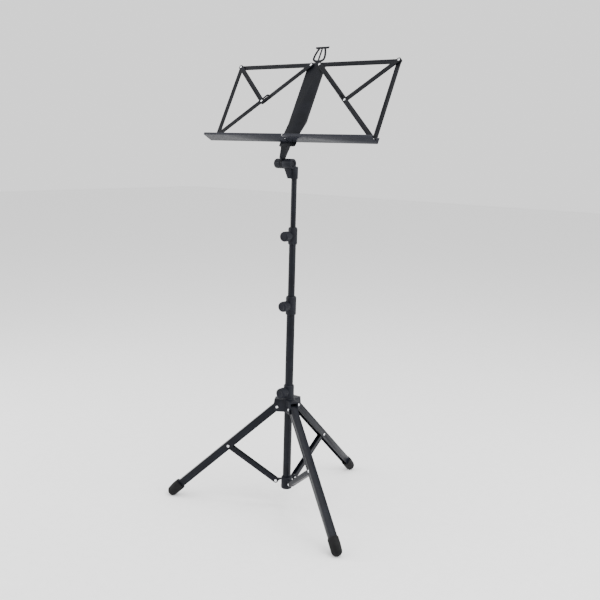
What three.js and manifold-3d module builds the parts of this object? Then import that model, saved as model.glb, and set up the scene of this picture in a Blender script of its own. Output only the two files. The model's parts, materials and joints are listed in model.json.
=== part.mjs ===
// A folding sheet-music stand: a tripod of channel legs, three telescoping tubes with screw clamps,
// a tilting head, and a folding desk of flat bars between two ledges.
// Millimetres, +Z up. The reader stands on the -Y side and +X is to the reader's right.
// The origin is under the middle of the whole stand, on the surface it stands on.
import * as THREE from "three";
import { mergeVertices } from "three/addons/utils/BufferGeometryUtils.js";
import Module from "manifold-3d";

const wasm = await Module();
wasm.setup();

const DEG = Math.PI / 180;
const GAP = 0.3; // between pieces that touch on the real stand

// Tripod: distances are from the pole's axis, or along the leg from its pivot
const LEG_AZIMUTHS = { front_left: 210 * DEG, front_right: 330 * DEG, rear: 90 * DEG };
const PIVOT_REACH = 28;
const LEG_PIVOT_Z = 264;
const STAY_PIVOT_Z = 62.5;
const FOOT_REACH = 303;
const FOOT_CENTRE_Z = 12.6;
const FOOT_RADIUS = 13.5;
const FOOT_MOUTH = 30; // from the foot's centre back to its open end
const STAY_PIN_ALONG = 171;
const LEG = { half: 8.5, outer: 10.5, inner: 8.5, sheet: 1.4, short: 17 };
const STAY = { half: 6, depth: 6.5, sheet: 1.3, webCut: 14, boss: 0.8 };
const PIN_RADIUS = 2.5;
const PIN_HEAD = { radius: 4.2, dome: 1.4 };
const HUB = { bottom: 252, shoulder: 285.6, top: 321.6, radius: 14.5, collar: 13.5, screw: 305 };
const ARM = { half: 12.1, slotHalf: 8.9, slotStart: 15.2, slotTop: 281, top: 285 };
const BASE_HUB = { bottom: 42.5, top: 74.5, radius: 14.2, lugHalf: 4.3, lugRadius: 5.5 };

// Pole
const OUTER_TUBE = { radius: 10.5, wall: 1.2, bottom: 48.6, top: 540 };
const MIDDLE_TUBE = { radius: 8.7, wall: 1.2, bottom: 282, top: 712 };
const TOP_TUBE = { radius: 7, wall: 1, bottom: 436, top: 866 };
const LOWER_CLAMP = { radius: 13.3, bottom: 504, top: 551, screw: 528 };
const UPPER_CLAMP = { radius: 11.5, bottom: 681, top: 723, screw: 702 };
const GLIDE = { flange: 6, shank: 12, bore: 4 };

// Screws and knobs
const SCREW_RADIUS = 3;
const SCREW_HOLE = SCREW_RADIUS + GAP;
const BOSS_END = 16.7;
const KNOB_LENGTH = 21;
const KNOB_FLUTES = 8;
const KNOB_RADIUS = { hub: 14, lower: 13.5, upper: 13, tilt: 12.5 };

// Head
const TILT_AXIS_Y = -12;
const TILT_AXIS_Z = 877;
const BARREL = { radius: 12.5, left: -21, right: 5, recess: 5, recessRadius: 6.6 };
const SOCKET = { radius: 9.2, bottom: 841, top: 871 };
const GUSSET = { front: 16, back: 2 };
const BLADE = { left: -26, right: -21.4, eye: 12.4 };
const TILT_KNOB_RIGHT = -26.4;

// Desk, in its own frame: u to the right, v up the desk, w towards the reader, from the tilt axis
const DESK_LEAN = 27.5 * DEG;
const PIVOT_U = 12.6;
const CORNER_U = 236;
const LOWER_V = 47.5;
const UPPER_V = 252.5;
const BAR_WIDTH = 12;
const BAR_SHEET = 1.8;
const LAYERS = { top: 31.6, link: 33.7, strut: 37.2, lower: 39.3 }; // the back of each bar, in w
const HEAD_GAP = 0.1;
const RIVET = { radius: 2, hole: 2.3, head: 3.4, dome: 1.15 };
const PANEL = { half: 24, front: 31.2, sheet: 1.2, top: 260, crease: 91, foot: 54, bottom: 28 };
const PANEL_FOOT_W = 36.9;
const PANEL_FLANGE = { depth: 8, end: 66, tip: 1.2 };
const LEDGE = { inner: 1, outer: 250, back: 37.2, front: 68.8, floor: 38.5, flange: 53.5, lip: 44.5 };
const LEDGE_SHEET = 1.2;
const ARM_PLATE = { back: 33.3, sheet: 2, right: 18, low: 29, high: 53 };
const LYRE = { back: 27.7, sheet: 2, tabHalf: 17, tabLow: 246, height: 46, string: 1.9 };

const ROUND = 24;
const SMALL_ROUND = 10;
const RIVET_ROUND = 8;

function finish(color, roughness, metalness) {
  return new THREE.MeshStandardMaterial({ color, roughness, metalness });
}

const paint = finish(0x24262c, 0.42, 0.35);
const deskPaint = finish(0x17181c, 0.5, 0.3);
const ledgePaint = finish(0x4a4c58, 0.45, 0.35);
const plastic = finish(0x26282d, 0.55, 0);
const rubber = finish(0x1b1c1f, 0.8, 0);
const zinc = finish(0xd9dade, 0.3, 0.9);

// --- Solids -------------------------------------------------------------------------------------

function solidOf(geometry) {
  const plain = geometry.clone();
  plain.deleteAttribute("normal");
  plain.deleteAttribute("uv");
  const merged = mergeVertices(plain, 1e-4);
  return new wasm.Manifold(
    new wasm.Mesh({
      numProp: 3,
      vertProperties: merged.attributes.position.array,
      triVerts: new Uint32Array(merged.index.array),
    }),
  );
}

function geometryOf(solid) {
  const made = solid.getMesh();
  const geometry = new THREE.BufferGeometry();
  geometry.setAttribute("position", new THREE.BufferAttribute(made.vertProperties, 3));
  geometry.setIndex(new THREE.BufferAttribute(made.triVerts, 1));
  const flat = geometry.toNonIndexed();
  flat.computeVertexNormals();
  return flat;
}

function join(geometries) {
  return geometryOf(geometries.map(solidOf).reduce((whole, next) => whole.add(next)));
}

function cut(geometry, tools) {
  return geometryOf(tools.map(solidOf).reduce((left, tool) => left.subtract(tool), solidOf(geometry)));
}

// A turned piece about +Z from [radius, height] pairs, outer side first and going up.
function turned(profile, segments = ROUND) {
  const points = profile.map(([radius, height]) => new THREE.Vector2(radius, height));
  return new THREE.LatheGeometry(points, segments).rotateX(Math.PI / 2);
}

function cylinder(radius, low, high, segments = ROUND) {
  return turned([[0, low], [radius, low], [radius, high], [0, high]], segments);
}

function ring(inner, outer, low, high) {
  return turned([[inner, low], [outer, low], [outer, high], [inner, high], [inner, low]]);
}

function box(low, high) {
  const size = high.map((value, axis) => value - low[axis]);
  const centre = high.map((value, axis) => (value + low[axis]) / 2);
  return new THREE.BoxGeometry(...size).translate(...centre);
}

// Turns a piece made about +Z so that it lies along the given direction.
function pointAlong(geometry, direction) {
  const turn = new THREE.Quaternion();
  turn.setFromUnitVectors(new THREE.Vector3(0, 0, 1), new THREE.Vector3(...direction).normalize());
  return geometry.applyQuaternion(turn);
}

function extrude(shape, depth) {
  return new THREE.ExtrudeGeometry(shape, { depth, bevelEnabled: false, curveSegments: 4 });
}

// An outline in X and Z with its depth along -Y, from one distance to the other.
function facing(shape, from, to) {
  return extrude(shape, to - from).translate(0, 0, from).rotateX(Math.PI / 2);
}

// A cross-section in w and v, extruded across the desk from uLow to uHigh.
function across(shape, uLow, uHigh) {
  const basis = new THREE.Matrix4().makeBasis(
    new THREE.Vector3(0, -1, 0),
    new THREE.Vector3(0, 0, 1),
    new THREE.Vector3(-1, 0, 0),
  );
  return extrude(shape, uHigh - uLow).applyMatrix4(basis).translate(uHigh, 0, 0);
}

function polygon(points) {
  return new THREE.Shape(points.map(([a, b]) => new THREE.Vector2(a, b)));
}

// The section of a bent sheet: a path of [a, b] points, thickened to its left.
function bentSheet(path, thickness) {
  const normals = path.slice(1).map(([a, b], index) => {
    const [fromA, fromB] = path[index];
    return new THREE.Vector2(fromB - b, a - fromA).normalize();
  });
  const offset = path.map(([a, b], index) => {
    const before = normals[Math.max(index - 1, 0)];
    const after = normals[Math.min(index, normals.length - 1)];
    const middle = before.clone().add(after).normalize();
    const reach = thickness / middle.dot(before);
    return [a + middle.x * reach, b + middle.y * reach];
  });
  return polygon([...path, ...offset.reverse()]);
}

function hole(centreX, centreY, radius) {
  return new THREE.Path().absarc(centreX, centreY, radius, 0, 2 * Math.PI, true);
}

// A flat bar along +X with round ends; a far hole longer than zero becomes a slot back along the bar.
function barShape(length, width, holeRadius, slotLength = 0) {
  const shape = new THREE.Shape();
  shape.absarc(0, 0, width / 2, Math.PI / 2, 1.5 * Math.PI, false);
  shape.absarc(length, 0, width / 2, -Math.PI / 2, Math.PI / 2, false);
  const slot = new THREE.Path();
  slot.absarc(length - slotLength, 0, holeRadius, Math.PI / 2, 1.5 * Math.PI, false);
  slot.absarc(length, 0, holeRadius, -Math.PI / 2, Math.PI / 2, false);
  shape.holes.push(hole(0, 0, holeRadius), slotLength > 0 ? slot : hole(length, 0, holeRadius));
  return shape;
}

// A stud about +Z: a shank from low to high, with a domed head past high.
function stud(low, high, radius, head, dome) {
  return turned(
    [
      [0, low], [radius, low], [radius, high],
      [head, high], [head * 0.6, high + dome * 0.85], [0, high + dome],
    ],
    RIVET_ROUND,
  );
}

// A rivet about +Z: a shank from low to high, with a domed head past each end.
function rivet(low, high, radius, head, dome) {
  return turned(
    [
      [0, low - dome], [head * 0.6, low - dome * 0.85], [head, low], [radius, low],
      [radius, high], [head, high], [head * 0.6, high + dome * 0.85], [0, high + dome],
    ],
    RIVET_ROUND,
  );
}

function place(parent, name, geometry, material) {
  const mesh = new THREE.Mesh(geometry, material);
  mesh.name = name;
  parent.add(mesh);
}

function groupAt(parent, x, y, z) {
  const made = new THREE.Group();
  made.position.set(x, y, z);
  parent.add(made);
  return made;
}

// A solid skinned over rings of points with the same count, closed by a fan at each end.
function loft(rings) {
  const count = rings[0].length;
  const points = rings.flat();
  const faces = [];
  for (let level = 0; level + 1 < rings.length; level += 1) {
    for (let step = 0; step < count; step += 1) {
      const a = level * count + step;
      const b = level * count + ((step + 1) % count);
      faces.push([a, b, b + count], [a, b + count, a + count]);
    }
  }
  const ends = [rings[0], rings[rings.length - 1]];
  ends.forEach((end, side) => {
    const sum = end.reduce((total, point) => total.map((value, axis) => value + point[axis]), [0, 0, 0]);
    const centre = points.push(sum.map((value) => value / count)) - 1;
    const first = side === 0 ? 0 : (rings.length - 1) * count;
    for (let step = 0; step < count; step += 1) {
      const edge = [first + step, first + ((step + 1) % count)];
      faces.push(side === 0 ? [centre, edge[1], edge[0]] : [centre, edge[0], edge[1]]);
    }
  });
  const geometry = new THREE.BufferGeometry();
  geometry.setAttribute("position", new THREE.Float32BufferAttribute(points.flat(), 3));
  geometry.setIndex(faces.flat());
  return geometry.toNonIndexed();
}

// --- Pole ---------------------------------------------------------------------------------------

const stand = new THREE.Group();

function sideCylinder(radius, end, height, segments) {
  return pointAlong(cylinder(radius, 0, end, segments), [0, -1, 0]).translate(0, 0, height);
}

function screwHole(height) {
  return sideCylinder(SCREW_HOLE, BOSS_END + 1, height, SMALL_ROUND);
}

function tube({ radius, wall, bottom, top }) {
  return ring(radius - wall, radius, bottom, top);
}

// A clamp collar on the lower tube's end, guiding the thinner tube above it.
function clampBody(clamp, lowerTube, upperTube) {
  const collar = turned([
    [0, clamp.bottom], [clamp.radius - 1, clamp.bottom], [clamp.radius, clamp.bottom + 1.5],
    [clamp.radius, clamp.top - 4], [clamp.radius - 1.8, clamp.top], [0, clamp.top],
  ]);
  const lowerBore = cylinder(lowerTube.radius + GAP, clamp.bottom - 1, lowerTube.top + GAP);
  const upperBore = cylinder(upperTube.radius + GAP, lowerTube.top - 1, clamp.top + 1);
  const body = join([collar, sideCylinder(7.5, BOSS_END, clamp.screw)]);
  return cut(body, [lowerBore, upperBore, screwHole(clamp.screw)]);
}

// A fluted, domed knob along +Z from its own base, with a blind hole for its screw.
function knobBody(radius) {
  const steps = KNOB_FLUTES * 3;
  const levels = [
    [0, 0.84], [2.4, 1], [KNOB_LENGTH - 5, 1], [KNOB_LENGTH - 1.6, 0.9], [KNOB_LENGTH, 0.68],
  ];
  const rings = levels.map(([height, scale]) => {
    return Array.from({ length: steps }, (_, step) => {
      const angle = (step / steps) * 2 * Math.PI;
      const dip = scale === 1 ? 0.05 * Math.max(0, Math.cos(KNOB_FLUTES * angle)) : 0;
      const reach = radius * (scale - dip);
      return [reach * Math.cos(angle), reach * Math.sin(angle), height];
    });
  });
  return cut(loft(rings), [cylinder(SCREW_HOLE, -1, KNOB_LENGTH * 0.6, SMALL_ROUND)]);
}

// A knob and its screw on the -Y side; the screw's tip stops just short of the tube it presses on.
function clampScrew(name, height, pressed, radius) {
  const knobStart = BOSS_END + GAP;
  const screwEnd = knobStart + KNOB_LENGTH * 0.6 - GAP;
  const knob = pointAlong(knobBody(radius).translate(0, 0, knobStart), [0, -1, 0]);
  const tip = pressed.radius + GAP;
  const screw = pointAlong(cylinder(SCREW_RADIUS, tip, screwEnd, SMALL_ROUND), [0, -1, 0]);
  place(stand, `${name}_knob`, knob.translate(0, 0, height), plastic);
  place(stand, `${name}_screw`, screw.translate(0, 0, height), zinc);
}

// A guide plug in a tube's lower end: a flange that rubs in the tube below, and a shank in its own.
function glide(own, around, bore) {
  const flange = around.radius - around.wall - GAP;
  const shank = own.radius - own.wall - GAP;
  const shoulder = own.bottom - GAP;
  const foot = own.bottom - GLIDE.flange;
  const tip = own.bottom + GLIDE.shank;
  return turned([
    [bore, foot], [flange, foot], [flange, shoulder], [shank, shoulder],
    [shank, tip], [bore, tip], [bore, foot],
  ]);
}

place(stand, "outer_tube", cut(tube(OUTER_TUBE), [screwHole(LOWER_CLAMP.screw)]), paint);
place(stand, "middle_tube", cut(tube(MIDDLE_TUBE), [screwHole(UPPER_CLAMP.screw)]), paint);
place(stand, "top_tube", tube(TOP_TUBE), paint);
place(stand, "lower_clamp", clampBody(LOWER_CLAMP, OUTER_TUBE, MIDDLE_TUBE), plastic);
place(stand, "upper_clamp", clampBody(UPPER_CLAMP, MIDDLE_TUBE, TOP_TUBE), plastic);
place(stand, "middle_glide", glide(MIDDLE_TUBE, OUTER_TUBE, GLIDE.bore), plastic);
place(stand, "top_glide", glide(TOP_TUBE, MIDDLE_TUBE, GLIDE.bore), plastic);
clampScrew("hub", HUB.screw, OUTER_TUBE, KNOB_RADIUS.hub);
clampScrew("lower_clamp", LOWER_CLAMP.screw, MIDDLE_TUBE, KNOB_RADIUS.lower);
clampScrew("upper_clamp", UPPER_CLAMP.screw, TOP_TUBE, KNOB_RADIUS.upper);

// --- Tripod -------------------------------------------------------------------------------------

const legRun = FOOT_REACH - PIVOT_REACH;
const legDrop = LEG_PIVOT_Z - FOOT_CENTRE_Z;
const legLength = Math.hypot(legRun, legDrop);
const legAngle = Math.atan2(legRun, legDrop); // from straight down
const stayRun = STAY_PIN_ALONG * Math.sin(legAngle);
const stayRise = LEG_PIVOT_Z - STAY_PIN_ALONG * Math.cos(legAngle) - STAY_PIVOT_Z;
const stayLength = Math.hypot(stayRun, stayRise);
const stayAngle = Math.atan2(stayRun, stayRise); // from straight up
const channelEnd = legLength - LEG.short;

function crosswise(radius, half, segments = SMALL_ROUND) {
  return pointAlong(cylinder(radius, -half, half, segments), [0, 1, 0]);
}

// The sliding hub: a collar with a forked arm for each leg.
function tripodHub() {
  const core = turned([
    [0, HUB.bottom], [HUB.radius, HUB.bottom], [HUB.radius, HUB.shoulder],
    [HUB.collar, HUB.shoulder + 1.5], [HUB.collar, HUB.top - 2], [HUB.collar - 1.4, HUB.top], [0, HUB.top],
  ]);
  const arm = polygon([
    [0, ARM.top], [0, HUB.bottom], [31, HUB.bottom], [36, HUB.bottom + 5], [37, HUB.bottom + 18],
    [35, ARM.top],
  ]);
  const solids = [core, sideCylinder(8.5, BOSS_END, HUB.screw)];
  const tools = [cylinder(OUTER_TUBE.radius + GAP, HUB.bottom - 1, HUB.top + 1), screwHole(HUB.screw)];
  for (const azimuth of Object.values(LEG_AZIMUTHS)) {
    const slot = box([ARM.slotStart, -ARM.slotHalf, HUB.bottom - 1], [60, ARM.slotHalf, ARM.slotTop]);
    const pinHole = crosswise(PIN_RADIUS + GAP, 20).translate(PIVOT_REACH, 0, LEG_PIVOT_Z);
    solids.push(facing(arm, -ARM.half, ARM.half).rotateZ(azimuth));
    tools.push(slot.rotateZ(azimuth), pinHole.rotateZ(azimuth));
  }
  return cut(join(solids), tools);
}

// The fixed hub at the tube's foot: a closed cup with one lug between the two walls of each stay.
function baseHub() {
  const solids = [
    turned([
      [0, BASE_HUB.bottom], [BASE_HUB.radius - 2, BASE_HUB.bottom], [BASE_HUB.radius, BASE_HUB.bottom + 2],
      [BASE_HUB.radius, BASE_HUB.top - 3], [BASE_HUB.radius - 1.5, BASE_HUB.top], [0, BASE_HUB.top],
    ]),
  ];
  const tools = [cylinder(OUTER_TUBE.radius + GAP, OUTER_TUBE.bottom - GAP, BASE_HUB.top + 1)];
  for (const azimuth of Object.values(LEG_AZIMUTHS)) {
    const lug = new THREE.Shape();
    lug.moveTo(12, -BASE_HUB.lugRadius);
    lug.absarc(PIVOT_REACH, 0, BASE_HUB.lugRadius, -Math.PI / 2, Math.PI / 2, false);
    lug.lineTo(12, BASE_HUB.lugRadius);
    const solid = facing(lug, -BASE_HUB.lugHalf, BASE_HUB.lugHalf);
    solids.push(solid.translate(0, 0, STAY_PIVOT_Z).rotateZ(azimuth));
    tools.push(crosswise(RIVET.hole, 10).translate(PIVOT_REACH, 0, STAY_PIVOT_Z).rotateZ(azimuth));
  }
  return cut(join(solids), tools);
}

// A channel hanging down -Z from its pivot, with its web on the +X side and a round upper end.
function legChannel() {
  const side = new THREE.Shape();
  side.moveTo(-LEG.inner, -channelEnd);
  side.lineTo(LEG.outer, -channelEnd);
  side.absellipse(0, 0, LEG.outer, LEG.inner, 0, Math.PI / 2, false);
  side.absarc(0, 0, LEG.inner, Math.PI / 2, Math.PI, false);
  side.holes.push(hole(0, 0, PIN_RADIUS + GAP), hole(0, -STAY_PIN_ALONG, PIN_RADIUS + GAP));
  const inside = LEG.half - LEG.sheet;
  const trough = box([-20, -inside, -channelEnd - 1], [LEG.outer - LEG.sheet, inside, 20]);
  return cut(facing(side, -LEG.half, LEG.half), [trough]);
}

// A channel from its lower pivot up +Z, with its web on the +X side and a boss at the lower pivot.
function stayChannel() {
  const shape = barShape(stayLength, 2 * STAY.depth, PIN_RADIUS + GAP);
  shape.holes.shift();
  const outer = facing(shape, -STAY.half, STAY.half).rotateY(-Math.PI / 2);
  const bosses = crosswise(RIVET.head, STAY.half + STAY.boss);
  const inside = STAY.half - STAY.sheet;
  const end = STAY.depth + 1;
  const trough = box([-end, -inside, -end], [STAY.depth - STAY.sheet, inside, stayLength + end]);
  const webEnd = box([0, -inside, -end], [end, inside, STAY.webCut]);
  return cut(join([outer, bosses]), [trough, webEnd]);
}

// A rubber cap: an oval sleeve over the channel's end that becomes a ball, cut flat on the floor.
function footCap() {
  const sides = 16;
  const levels = [
    [FOOT_MOUTH, 13.3, 14.1, 1], [FOOT_MOUTH - 1.8, 13.6, 14.4, 1], [14, 13.7, 14.4, 1],
  ];
  for (let step = 0; step < 5; step += 1) {
    const angle = step * 18 * DEG;
    const radius = FOOT_RADIUS * Math.cos(angle);
    levels.push([-FOOT_RADIUS * Math.sin(angle), radius, radius, 0]);
  }
  const rings = levels.map(([height, halfY, halfX, shift]) => {
    return Array.from({ length: sides }, (_, step) => {
      const angle = ((step + 0.5) / sides) * 2 * Math.PI;
      return [shift + halfX * Math.cos(angle), halfY * Math.sin(angle), height - legLength];
    });
  });
  const half = LEG.half + GAP;
  const socket = box([-LEG.inner - GAP, -half, -channelEnd - GAP], [LEG.outer + GAP, half, 0]);
  const floor = box([-60, -60, -LEG_PIVOT_Z - 60], [legRun + 80, 60, -LEG_PIVOT_Z]);
  return cut(loft(rings.reverse()), [socket, floor.rotateY(legAngle)]);
}

// A pin across a leg's plane, headed outside the given half-width.
function crossPin(half) {
  const pin = rivet(-half - GAP, half + GAP, PIN_RADIUS, PIN_HEAD.radius, PIN_HEAD.dome);
  return pointAlong(pin, [0, 1, 0]);
}

place(stand, "tripod_hub", tripodHub(), plastic);
place(stand, "base_hub", baseHub(), plastic);

for (const [side, azimuth] of Object.entries(LEG_AZIMUTHS)) {
  const plane = groupAt(stand, 0, 0, 0);
  plane.rotation.z = azimuth;
  place(plane, `leg_pin_${side}`, crossPin(ARM.half).translate(PIVOT_REACH, 0, LEG_PIVOT_Z), zinc);

  const leg = groupAt(plane, PIVOT_REACH, 0, LEG_PIVOT_Z);
  leg.rotation.y = -legAngle;
  place(leg, `leg_${side}`, legChannel(), paint);
  place(leg, `foot_${side}`, footCap(), rubber);
  place(leg, `stay_pin_${side}`, crossPin(LEG.half).translate(0, 0, -STAY_PIN_ALONG), zinc);

  const stay = groupAt(plane, PIVOT_REACH, 0, STAY_PIVOT_Z);
  stay.rotation.y = stayAngle;
  place(stay, `stay_${side}`, stayChannel(), paint);
}

// --- Tilting head -------------------------------------------------------------------------------

// A piece about +Z becomes one about the tilt axis, growing to the left.
function onTiltAxis(geometry) {
  return pointAlong(geometry, [-1, 0, 0]).translate(0, TILT_AXIS_Y, TILT_AXIS_Z);
}

function tiltHead() {
  const barrel = onTiltAxis(cylinder(BARREL.radius, -BARREL.right, -BARREL.left));
  const socket = turned([
    [0, SOCKET.bottom], [SOCKET.radius - 0.6, SOCKET.bottom], [SOCKET.radius, SOCKET.bottom + 2],
    [SOCKET.radius, SOCKET.top - 2], [SOCKET.radius - 2, SOCKET.top], [0, SOCKET.top],
  ]);
  const gusset = facing(
    polygon([[-20.5, 868], [-8.5, SOCKET.bottom + 1], [0, SOCKET.bottom + 1], [0, 868]]),
    GUSSET.back,
    GUSSET.front,
  );
  const recessEnd = BARREL.recess - BARREL.right;
  return cut(join([barrel, socket, gusset]), [
    cylinder(TOP_TUBE.radius + GAP, SOCKET.bottom - 1, TOP_TUBE.top + GAP),
    onTiltAxis(cylinder(SCREW_HOLE, -10, 40, SMALL_ROUND)),
    onTiltAxis(cylinder(BARREL.recessRadius, -BARREL.right - 1, recessEnd)),
  ]);
}

function tiltBolt() {
  const headEnd = BARREL.recess - BARREL.right - GAP;
  const shankEnd = -TILT_KNOB_RIGHT + KNOB_LENGTH * 0.6 - GAP;
  const head = cylinder(5.7, headEnd - 4, headEnd, 6);
  const shank = cylinder(SCREW_RADIUS, headEnd - 1, shankEnd, SMALL_ROUND);
  return onTiltAxis(join([head, shank]));
}

place(stand, "tilt_head", tiltHead(), plastic);
place(stand, "tilt_bolt", tiltBolt(), zinc);
const tiltKnob = knobBody(KNOB_RADIUS.tilt).translate(0, 0, -TILT_KNOB_RIGHT);
place(stand, "tilt_knob", onTiltAxis(tiltKnob), plastic);

// --- Desk ---------------------------------------------------------------------------------------

const desk = groupAt(stand, 0, TILT_AXIS_Y, TILT_AXIS_Z);
desk.rotation.x = -DESK_LEAN;

// A piece about +Z becomes one along w at a point of the desk.
function alongW(piece, u, v) {
  return pointAlong(piece, [0, -1, 0]).translate(u, 0, v);
}

function rivetHoles(points) {
  return points.map(([u, v]) => alongW(cylinder(RIVET.hole, 20, 50, RIVET_ROUND), u, v));
}

// The back panel: one sheet bent forward at a crease, with a rim down each side that fades out below it.
function backPanel() {
  const { half, front, sheet, top, crease, foot, bottom } = PANEL;
  const backFace = [
    [front - sheet, top], [front - sheet, crease], [PANEL_FOOT_W - sheet, foot],
    [PANEL_FOOT_W - sheet, bottom],
  ];
  const face = across(bentSheet(backFace, sheet), -half, half);
  const slope = (PANEL_FOOT_W - front) / (crease - foot);
  const rimEndW = front + slope * (crease - PANEL_FLANGE.end) - 0.2;
  const rim = polygon([
    [front - PANEL_FLANGE.depth, top], [front - 0.2, top], [front - 0.2, crease],
    [rimEndW, PANEL_FLANGE.end], [rimEndW - PANEL_FLANGE.tip, PANEL_FLANGE.end],
    [front - PANEL_FLANGE.depth, crease + 8],
  ]);
  const rims = [across(rim, -half, -half + sheet), across(rim, half - sheet, half)];
  const outline = new THREE.Shape();
  outline.moveTo(-half, bottom + 6);
  outline.quadraticCurveTo(-half, bottom, -half + 6, bottom);
  outline.lineTo(half - 6, bottom);
  outline.quadraticCurveTo(half, bottom, half, bottom + 6);
  outline.lineTo(half, top - 10);
  outline.quadraticCurveTo(half, top, half - 10, top);
  outline.lineTo(-half + 10, top);
  outline.quadraticCurveTo(-half, top, -half, top - 10);
  outline.closePath();
  const blank = geometryOf(solidOf(join([face, ...rims])).intersect(solidOf(facing(outline, 10, 60))));
  const pivots = [-PIVOT_U, PIVOT_U].flatMap((u) => [[u, UPPER_V], [u, LOWER_V]]);
  return cut(blank, rivetHoles(pivots));
}

// A plain lyre: a tab behind the panel, a stem, two bowed arms, a straight yoke and one string.
function lyreBody() {
  const base = PANEL.top;
  const top = base + LYRE.height;
  const yoke = top - 5;
  const shape = new THREE.Shape();
  shape.moveTo(-LYRE.tabHalf, LYRE.tabLow);
  shape.lineTo(LYRE.tabHalf, LYRE.tabLow);
  shape.lineTo(LYRE.tabHalf, base - 2);
  shape.lineTo(5, base + 2);
  shape.quadraticCurveTo(19, base + 5, 18.5, base + 15);
  shape.quadraticCurveTo(17.5, base + 29, 11.5, yoke);
  shape.lineTo(18, yoke);
  shape.quadraticCurveTo(21, yoke + 2, 20, top);
  shape.lineTo(-20, top);
  shape.quadraticCurveTo(-21, yoke + 2, -18, yoke);
  shape.lineTo(-11.5, yoke);
  shape.quadraticCurveTo(-17.5, base + 29, -18.5, base + 15);
  shape.quadraticCurveTo(-19, base + 5, -5, base + 2);
  shape.lineTo(-LYRE.tabHalf, base - 2);
  shape.closePath();
  for (const side of [-1, 1]) {
    const window = new THREE.Path();
    window.moveTo(side * LYRE.string, base + 8);
    window.quadraticCurveTo(side * 13.5, base + 8, side * 13.5, base + 15);
    window.quadraticCurveTo(side * 12.5, base + 28, side * 6.5, yoke);
    window.lineTo(side * LYRE.string, yoke);
    window.closePath();
    shape.holes.push(window);
  }
  const plate = facing(shape, LYRE.back, LYRE.back + LYRE.sheet);
  return cut(plate, rivetHoles([[-PIVOT_U, UPPER_V], [PIVOT_U, UPPER_V]]));
}

// The tilt arm: an upright blade with an eye on the bolt, and a plate that carries the ledges' pivots.
function tiltArm() {
  const { back, sheet, right, low, high } = ARM_PLATE;
  const front = back + sheet;
  const blade = across(
    polygon([
      [20.5, 5.5], [27, low], [front, low], [front, high], [24, 62], [8, 56], [-1, 46], [1, 30],
      [3.5, 0], [8, -2],
    ]),
    BLADE.left,
    BLADE.right,
  );
  const eye = pointAlong(cylinder(BLADE.eye, -BLADE.right, -BLADE.left), [-1, 0, 0]);
  const plate = box([BLADE.left, -front, low], [right, -back, high]);
  const boltHole = pointAlong(cylinder(SCREW_HOLE + 0.1, 15, 35, SMALL_ROUND), [-1, 0, 0]);
  return cut(join([blade, eye, plate]), [boltHole, ...rivetHoles([[-PIVOT_U, LOWER_V], [PIVOT_U, LOWER_V]])]);
}

// A flat bar from one point of the desk to another, in its own layer. A slotted one runs on past its end.
function bar(back, start, end, slot = 0) {
  const length = Math.hypot(end[0] - start[0], end[1] - start[1]);
  const angle = Math.atan2(end[1] - start[1], end[0] - start[0]);
  const shape = barShape(length + slot, BAR_WIDTH, RIVET.hole, slot);
  return facing(shape, back, back + BAR_SHEET).rotateY(-angle).translate(start[0], 0, start[1]);
}

// A ledge: a rear flange that carries its pivots, a floor, and a low lip at the reader's side.
function ledgeBody(side) {
  const section = bentSheet(
    [
      [LEDGE.back, LEDGE.flange], [LEDGE.back, LEDGE.floor],
      [LEDGE.front, LEDGE.floor], [LEDGE.front, LEDGE.lip],
    ],
    LEDGE_SHEET,
  );
  const ends = side > 0 ? [LEDGE.inner, LEDGE.outer] : [-LEDGE.outer, -LEDGE.inner];
  return cut(across(section, ...ends), rivetHoles([[side * PIVOT_U, LOWER_V], [side * CORNER_U, LOWER_V]]));
}

place(desk, "back_panel", backPanel(), deskPaint);
place(desk, "lyre", lyreBody(), deskPaint);
place(desk, "tilt_arm", tiltArm(), deskPaint);

const middleU = (PIVOT_U + CORNER_U) / 2;
const middleV = (LOWER_V + UPPER_V) / 2;
// Folded, the lower link's middle joint lies this much further from the ledge's end.
const slotLength = CORNER_U - PIVOT_U - (UPPER_V - LOWER_V);

for (const [name, side] of [["left", -1], ["right", 1]]) {
  const upperPivot = [side * PIVOT_U, UPPER_V];
  const lowerPivot = [side * PIVOT_U, LOWER_V];
  const upperCorner = [side * CORNER_U, UPPER_V];
  const ledgeEnd = [side * CORNER_U, LOWER_V];
  const middle = [side * middleU, middleV];
  place(desk, `ledge_${name}`, ledgeBody(side), ledgePaint);
  place(desk, `top_bar_${name}`, bar(LAYERS.top, upperPivot, upperCorner), deskPaint);
  place(desk, `side_bar_${name}`, bar(LAYERS.link, ledgeEnd, upperCorner), deskPaint);
  place(desk, `upper_link_${name}`, bar(LAYERS.link, upperPivot, middle), deskPaint);
  place(desk, `strut_${name}`, bar(LAYERS.strut, upperCorner, middle), deskPaint);

  place(desk, `lower_link_${name}`, bar(LAYERS.lower, ledgeEnd, middle, slotLength), deskPaint);

  const frontOf = (layer) => layer + BAR_SHEET + HEAD_GAP;
  const flangeFront = LEDGE.back + LEDGE_SHEET;
  const { radius, head, dome } = RIVET;
  const shape = [radius, head, dome];
  const pins = {
    top_pivot: [rivet(LYRE.back - GAP, frontOf(LAYERS.link), ...shape), upperPivot],
    ledge_pivot: [rivet(ARM_PLATE.back - HEAD_GAP, flangeFront + HEAD_GAP, ...shape), lowerPivot],
    corner: [rivet(LAYERS.top - HEAD_GAP, frontOf(LAYERS.strut), ...shape), upperCorner],
    ledge_end: [stud(LAYERS.link, frontOf(LAYERS.lower), ...shape), ledgeEnd],
    middle: [stud(LAYERS.lower, frontOf(LAYERS.lower), ...shape), middle],
  };
  for (const [pin, [piece, [u, v]]] of Object.entries(pins)) {
    place(desk, `${pin}_rivet_${name}`, alongW(piece, u, v), zinc);
  }
}

// --- The whole stand, with its origin under its middle --------------------------------------------

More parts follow.
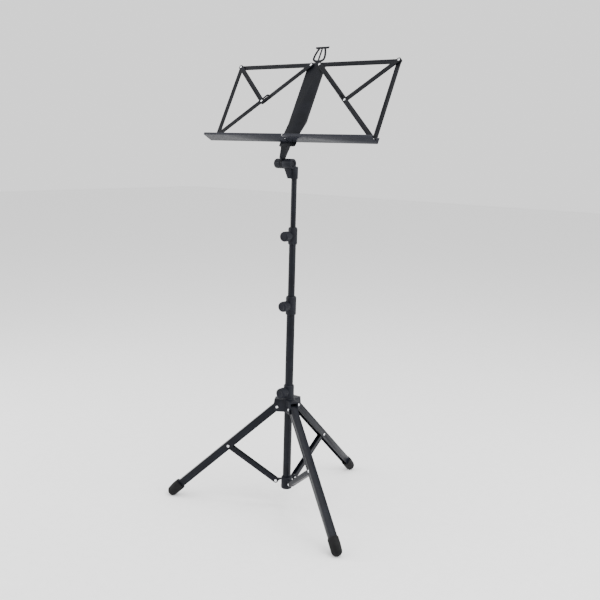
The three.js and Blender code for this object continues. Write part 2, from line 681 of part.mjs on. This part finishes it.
const bounds = new THREE.Box3().setFromObject(stand, true);
const middleOf = bounds.getCenter(new THREE.Vector3());
stand.position.set(-middleOf.x, -middleOf.y, -bounds.min.z);

const part = new THREE.Group();
part.add(stand);

export default part;
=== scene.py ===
# The looks of the folding music stand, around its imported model.
# Lengths are in metres, and the reader is on the -Y side.
import json
import math

import bmesh
import bpy
from mathutils import Matrix, Vector


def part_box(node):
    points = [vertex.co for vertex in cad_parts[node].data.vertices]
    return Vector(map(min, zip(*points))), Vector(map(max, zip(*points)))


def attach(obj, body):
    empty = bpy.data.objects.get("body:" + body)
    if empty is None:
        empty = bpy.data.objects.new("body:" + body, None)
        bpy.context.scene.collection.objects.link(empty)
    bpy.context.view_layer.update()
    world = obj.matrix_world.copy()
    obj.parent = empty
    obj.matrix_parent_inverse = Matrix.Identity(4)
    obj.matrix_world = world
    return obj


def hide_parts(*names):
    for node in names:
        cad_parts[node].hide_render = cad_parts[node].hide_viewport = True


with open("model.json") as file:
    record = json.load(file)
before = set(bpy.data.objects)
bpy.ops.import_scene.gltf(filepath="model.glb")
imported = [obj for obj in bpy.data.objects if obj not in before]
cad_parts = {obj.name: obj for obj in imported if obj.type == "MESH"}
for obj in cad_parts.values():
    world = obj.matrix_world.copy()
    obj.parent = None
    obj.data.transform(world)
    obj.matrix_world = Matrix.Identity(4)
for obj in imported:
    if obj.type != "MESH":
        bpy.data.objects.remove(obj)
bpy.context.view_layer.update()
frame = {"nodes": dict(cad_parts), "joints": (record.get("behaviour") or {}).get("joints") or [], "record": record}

RECORD = frame["record"]
SLOT_OF = {part["node"]: part["material_slot"] for part in RECORD["subparts"]}
BODY_OF = {node: body for body, nodes in RECORD["behaviour"]["bodies"].items() for node in nodes}

MM = 0.001
EDGE_ROUND = 0.35 * MM
SMOOTH_UNDER = math.radians(32)
WELD_REACH = 0.002 * MM
RELIEF_DEPTH = 0.1 * MM
MOTTLE_SCALE = 45
GLOSS_SCALE = 120

# The camera: its place about the pole, and where it points
CAMERA_REACH = 2.023
CAMERA_HEIGHT = 0.9154
CAMERA_AZIMUTH = math.radians(-53)
CAMERA_YAW = math.radians(0.63)
CAMERA_PITCH = math.radians(-10.47)
CAMERA_ROLL = math.radians(1.57)
CAMERA_LENS = 49.34
CAMERA_SENSOR = 36

# The studio
WORLD_STRENGTH = 1.35
FLOOR_SIZE = 24
FLOOR_DROP = 0.5 * MM
LIGHT_AIM = Vector((0, 0, 0.55))

# Knobs
GRIP_COUNT = 18
GRIP_DEPTH = 0.045
KNOB_STEPS = GRIP_COUNT * 8
SCREW_BORE = 3.3 * MM
BORE_SHARE = 0.6

# Rivets at the base hub, on the bosses of the stays
STAY_PIVOT_REACH = 28 * MM
STAY_PIVOT_HEIGHT = 62.5 * MM
BOSS_FACE = 6.8 * MM
HEAD_RADIUS = 3.4 * MM
HEAD_HEIGHT = 0.2 * MM  # so the head stays inside the folded leg's walls, 7.1 mm out
HEAD_TURNS = 24
HEAD_RINGS = 12


# --- Materials ----------------------------------------------------------------------------------

def noise(tree, scale, detail=4.0):
    coords = tree.nodes.new("ShaderNodeTexCoord")
    texture = tree.nodes.new("ShaderNodeTexNoise")
    texture.inputs["Scale"].default_value = scale
    texture.inputs["Detail"].default_value = detail
    tree.links.new(coords.outputs["Object"], texture.inputs["Vector"])
    return texture.outputs["Fac"]


def spread(tree, value, low, high):
    """The noise's middle range, stretched between two values."""
    ramp = tree.nodes.new("ShaderNodeMapRange")
    ramp.inputs["From Min"].default_value = 0.3
    ramp.inputs["From Max"].default_value = 0.7
    ramp.inputs["To Min"].default_value = low
    ramp.inputs["To Max"].default_value = high
    tree.links.new(value, ramp.inputs["Value"])
    return ramp.outputs["Result"]


def tinted(tree, factor, dark, light):
    ramp = tree.nodes.new("ShaderNodeValToRGB")
    ramp.color_ramp.elements[0].position = 0.35
    ramp.color_ramp.elements[0].color = (*dark, 1)
    ramp.color_ramp.elements[1].position = 0.65
    ramp.color_ramp.elements[1].color = (*light, 1)
    tree.links.new(factor, ramp.inputs["Fac"])
    return ramp.outputs["Color"]


def material(name, dark, light, rough, grain, bump, metallic=0.0, specular=0.1):
    """A surface with mottled colour, uneven gloss and a fine grain, whose scale is per metre."""
    made = bpy.data.materials.new(name)
    made.use_nodes = True
    tree = made.node_tree
    shader = tree.nodes["Principled BSDF"]
    shader.inputs["Metallic"].default_value = metallic
    shader.inputs["Specular IOR Level"].default_value = specular
    colour = tinted(tree, noise(tree, MOTTLE_SCALE), dark, light)
    tree.links.new(colour, shader.inputs["Base Color"])
    gloss = spread(tree, noise(tree, GLOSS_SCALE), *rough)
    tree.links.new(gloss, shader.inputs["Roughness"])
    relief = tree.nodes.new("ShaderNodeBump")
    relief.inputs["Strength"].default_value = bump
    relief.inputs["Distance"].default_value = RELIEF_DEPTH
    tree.links.new(noise(tree, grain, 2.0), relief.inputs["Height"])
    tree.links.new(relief.outputs["Normal"], shader.inputs["Normal"])
    return made


MATERIALS = {
    "black_paint": material(
        "black_paint", (0.005, 0.0055, 0.008), (0.007, 0.008, 0.0115), (0.26, 0.36), 1400, 0.12
    ),
    "desk_paint": material(
        "desk_paint", (0.003, 0.0035, 0.005), (0.0045, 0.005, 0.0075), (0.32, 0.42), 1600, 0.1
    ),
    "ledge_paint": material(
        "ledge_paint", (0.014, 0.015, 0.02), (0.017, 0.018, 0.0235), (0.3, 0.38), 1600, 0.1
    ),
    "charcoal_plastic": material(
        "charcoal_plastic", (0.0055, 0.006, 0.009), (0.010, 0.011, 0.015), (0.38, 0.52), 2200, 0.5
    ),
    "rubber_foot": material(
        "rubber_foot", (0.005, 0.005, 0.0055), (0.010, 0.010, 0.0105), (0.55, 0.75), 900, 0.6
    ),
    "zinc_fastener": material(
        "zinc_fastener", (0.60, 0.61, 0.63), (0.78, 0.79, 0.81), (0.2, 0.34), 2600, 0.15,
        metallic=1.0, specular=0.5,
    ),
}


def paint(piece, node):
    piece.data.materials.clear()
    piece.data.materials.append(MATERIALS[SLOT_OF[node]])


# --- Finer surfaces on the CAD pieces -----------------------------------------------------------

def refine(piece, node):
    """Joins the facets' corners, then rounds sharp edges. A rivet's head becomes a smooth dome."""
    for polygon in piece.data.polygons:
        polygon.use_smooth = True
    weld = piece.modifiers.new("weld", "WELD")
    weld.merge_threshold = WELD_REACH
    if "rivet" in node or "pin_" in node:
        smooth = piece.modifiers.new("dome", "SUBSURF")
        smooth.levels = smooth.render_levels = 2
        return
    edges = piece.modifiers.new("edges", "BEVEL")
    edges.width = EDGE_ROUND
    edges.segments = 2
    edges.limit_method = "ANGLE"
    edges.angle_limit = SMOOTH_UNDER
    edges.harden_normals = True


def refine_all():
    for node, piece in frame["nodes"].items():
        paint(piece, node)
        refine(piece, node)


# --- Knobs --------------------------------------------------------------------------------------

def knob_profile(radius, length):
    """Points [radius, height, grip depth], from the bore's end round the outside to the nose."""
    bore_end = length * BORE_SHARE
    lip = 1.2 * MM
    outline = [
        (SCREW_BORE, bore_end, 0), (SCREW_BORE, 0.3 * MM, 0), (SCREW_BORE + 0.3 * MM, 0, 0),
        (radius * 0.82, 0, 0), (radius * 0.86, 0.4 * MM, 0), (radius * 0.88, lip, 0),
    ]
    outline += [(radius * 0.93, lip + 0.5 * MM, 0), (radius * 0.985, lip + 1.4 * MM, 0.4)]
    outline += [(radius, lip + 2.4 * MM, 1), (radius, length - 5 * MM, 1)]
    outline += [(radius * 0.985, length - 3.6 * MM, 0.8), (radius * 0.95, length - 2.4 * MM, 0.4)]
    for step in range(1, 5):
        turn = math.radians(step * 20)
        reach = radius * (0.72 + 0.21 * math.cos(turn))
        outline.append((reach, length - 2.2 * MM + 2.0 * MM * math.sin(turn), 0))
    outline += [(radius * 0.6, length - 0.15 * MM, 0), (radius * 0.55, length - 0.7 * MM, 0)]
    outline += [(radius * 0.3, length - 0.75 * MM, 0)]
    return outline


def make_knob(node, axis):
    """A gripped knob in place of a plain one; axis points from its base to its nose."""
    low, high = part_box(node)
    size = high - low
    main = max(range(3), key=lambda index: abs(axis[index]))
    length = size[main]
    radius = min(size[index] for index in range(3) if index != main) / 2
    base = (low + high) / 2 - Vector(axis) * length / 2
    mesh = bmesh.new()
    rings = []
    for reach, height, depth in knob_profile(radius, length):
        ring = []
        for step in range(KNOB_STEPS):
            angle = step / KNOB_STEPS * 2 * math.pi
            dip = depth * GRIP_DEPTH * radius * (0.5 + 0.5 * math.cos(GRIP_COUNT * angle))
            across = reach - dip
            point = (across * math.cos(angle), across * math.sin(angle), height)
            ring.append(mesh.verts.new(point))
        rings.append(ring)
    for lower, upper in zip(rings, rings[1:]):
        for step in range(KNOB_STEPS):
            after = (step + 1) % KNOB_STEPS
            mesh.faces.new((lower[step], lower[after], upper[after], upper[step]))
    mesh.faces.new(list(reversed(rings[0])))
    mesh.faces.new(rings[-1])
    bmesh.ops.recalc_face_normals(mesh, faces=mesh.faces)
    turn = Vector((0, 0, 1)).rotation_difference(Vector(axis)).to_matrix().to_4x4()
    bmesh.ops.transform(mesh, matrix=Matrix.Translation(base) @ turn, verts=mesh.verts)
    data = bpy.data.meshes.new(f"{node}_grip")
    mesh.to_mesh(data)
    mesh.free()
    for polygon in data.polygons:
        polygon.use_smooth = True
    data.set_sharp_from_angle(angle=math.radians(40))
    piece = bpy.data.objects.new(f"{node}_grip", data)
    bpy.context.scene.collection.objects.link(piece)
    paint(piece, node)
    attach(piece, BODY_OF[node])
    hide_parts(node)


def make_knobs():
    for node in ("hub_knob", "lower_clamp_knob", "upper_clamp_knob"):
        make_knob(node, (0, -1, 0))
    make_knob("tilt_knob", (-1, 0, 0))


# --- Rivets at the base hub ---------------------------------------------------------------------

def rivet_head(name, place, axis, body):
    """A low, nearly flat head on the outer face of a stay's boss, with its flat side inwards."""
    mesh = bmesh.new()
    bmesh.ops.create_uvsphere(
        mesh, u_segments=HEAD_TURNS, v_segments=HEAD_RINGS, radius=HEAD_RADIUS
    )
    inner = [vert for vert in mesh.verts if vert.co.z < -0.01 * MM]
    bmesh.ops.delete(mesh, geom=inner, context="VERTS")
    rim = [edge for edge in mesh.edges if edge.is_boundary]
    bmesh.ops.contextual_create(mesh, geom=rim)
    bmesh.ops.recalc_face_normals(mesh, faces=mesh.faces)
    turn = Vector((0, 0, 1)).rotation_difference(axis).to_matrix().to_4x4()
    flatten = Matrix.Diagonal((1, 1, HEAD_HEIGHT / HEAD_RADIUS, 1))
    bmesh.ops.transform(mesh, matrix=Matrix.Translation(place) @ turn @ flatten, verts=mesh.verts)
    data = bpy.data.meshes.new(name)
    mesh.to_mesh(data)
    mesh.free()
    for polygon in data.polygons:
        polygon.use_smooth = True
    data.set_sharp_from_angle(angle=math.radians(50))
    piece = bpy.data.objects.new(name, data)
    bpy.context.scene.collection.objects.link(piece)
    piece.data.materials.append(MATERIALS["zinc_fastener"])
    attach(piece, body)


def make_stay_rivets():
    pole = pole_place()
    for joint in frame["joints"]:
        if not joint["name"].startswith("stay_fold_"):
            continue
        side = joint["name"].removeprefix("stay_fold_")
        across = Vector(joint["axis"])
        outward = Vector((joint["pos_m"][0] - pole.x, joint["pos_m"][1] - pole.y, 0)).normalized()
        pivot = Vector((pole.x, pole.y, STAY_PIVOT_HEIGHT)) + outward * STAY_PIVOT_REACH
        for name, way in (("near", -1), ("far", 1)):
            place = pivot + across * way * BOSS_FACE
            rivet_head(f"base_rivet_{side}_{name}", place, across * way, f"stay_{side}")


# --- Studio -------------------------------------------------------------------------------------

def pole_place():
    low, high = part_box("outer_tube")
    return (low + high) / 2


def make_camera():
    pole = pole_place()
    turned = math.radians(90) + CAMERA_AZIMUTH
    forward = Vector((
        math.sin(CAMERA_YAW) * math.cos(CAMERA_PITCH),
        math.cos(CAMERA_YAW) * math.cos(CAMERA_PITCH),
        math.sin(CAMERA_PITCH),
    ))
    right = Vector((math.cos(CAMERA_YAW), -math.sin(CAMERA_YAW), 0))
    up = right.cross(forward)
    level = math.cos(CAMERA_ROLL)
    lean = math.sin(CAMERA_ROLL)
    rolled_right = right * level + up * lean
    rolled_up = up * level - right * lean
    axes = Matrix((rolled_right, rolled_up, -forward)).transposed()
    rotation = Matrix.Rotation(turned, 3, "Z") @ axes
    place = Vector((
        pole.x + CAMERA_REACH * math.cos(CAMERA_AZIMUTH),
        pole.y + CAMERA_REACH * math.sin(CAMERA_AZIMUTH),
        CAMERA_HEIGHT,
    ))
    data = bpy.data.cameras.new("camera")
    data.lens = CAMERA_LENS
    data.sensor_width = CAMERA_SENSOR
    camera = bpy.data.objects.new("camera", data)
    camera.matrix_world = Matrix.Translation(place) @ rotation.to_4x4()
    bpy.context.scene.collection.objects.link(camera)
    bpy.context.scene.camera = camera


def make_light(name, place, size, power, height=None):
    """A round light, or with a height an upright strip, turned to the stand."""
    data = bpy.data.lights.new(name, "AREA")
    data.shape = "RECTANGLE" if height else "DISK"
    data.size = size
    if height:
        data.size_y = height
    data.energy = power
    light = bpy.data.objects.new(name, data)
    light.location = place
    target = Vector((0, 0, place[2])) if height else LIGHT_AIM
    aim = target - light.location
    light.rotation_euler = aim.to_track_quat("-Z", "Y").to_euler()
    bpy.context.scene.collection.objects.link(light)


def make_studio():
    world = bpy.data.worlds.new("studio")
    world.use_nodes = True
    background = world.node_tree.nodes["Background"]
    background.inputs["Color"].default_value = (1, 1, 1, 1)
    background.inputs["Strength"].default_value = WORLD_STRENGTH
    bpy.context.scene.world = world

    make_light("key", (2.2, -0.6, 2.4), 3.0, 85)
    make_light("fill", (-1.8, -2.4, 2.2), 2.6, 45)
    make_light("strip_left", (-1.9, -0.9, 1.0), 0.3, 18, height=1.3)
    make_light("strip_right", (2.1, 0.9, 1.0), 0.3, 18, height=1.3)
    make_light("top", (0.2, 0.2, 3.2), 3.0, 45)

    bpy.ops.mesh.primitive_plane_add(size=FLOOR_SIZE, location=(0, 0, -FLOOR_DROP))
    floor = bpy.context.object
    floor.name = "floor"
    floor.data.materials.append(
        material("floor", (0.90, 0.90, 0.90), (0.92, 0.92, 0.92), (0.7, 0.8), 60, 0.02)
    )


refine_all()
make_knobs()
make_stay_rivets()
make_camera()
make_studio()
